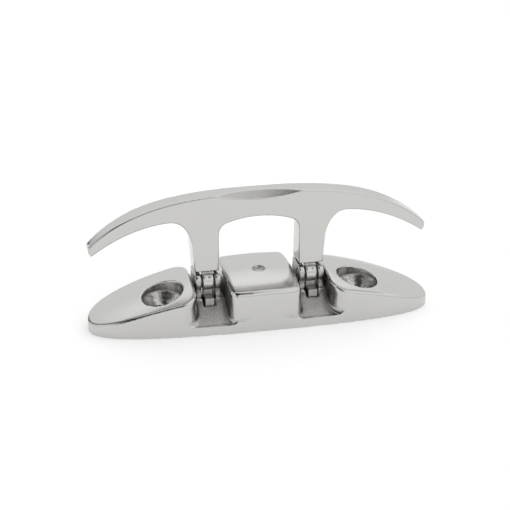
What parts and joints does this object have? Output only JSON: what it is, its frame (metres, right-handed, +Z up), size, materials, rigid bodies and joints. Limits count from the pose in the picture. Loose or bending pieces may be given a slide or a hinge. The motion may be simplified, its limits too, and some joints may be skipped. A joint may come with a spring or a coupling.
{
  "type": "folding deck cleat",
  "caption": "Folding stainless deck cleat: domed lens-shaped base with countersunk holes and a hinged horn that folds flat to the front.",
  "frame": {"origin": "middle of the base's footprint, on the deck face", "axes": "+X along the cleat, +Y to its back, +Z up off the deck; the horn folds towards -Y"},
  "size_m": [0.114, 0.0296, 0.0434],
  "materials": {
    "base_steel": "polished cast stainless",
    "horn_steel": "polished cast stainless",
    "pin_steel": "turned stainless",
    "washer_plastic": "matt",
    "block_steel": "as cast stainless",
    "spring_steel": "drawn wire"
  },
  "bodies": {
    "root": {"base": "base_steel", "hinge_pin_left": "pin_steel", "thrust_washers_left": "washer_plastic", "friction_block_left": "block_steel", "friction_spring_left": "spring_steel", "hinge_pin_right": "pin_steel", "thrust_washers_right": "washer_plastic", "friction_block_right": "block_steel", "friction_spring_right": "spring_steel"},
    "horn": {"horn": "horn_steel"}
  },
  "joints": [
    {"name": "horn_fold", "type": "hinge", "parent": "root", "child": "horn", "pos_m": [0, -0.001, 0.0135], "axis": [1, 0, 0], "range_deg": [0, 114]}
  ]
}
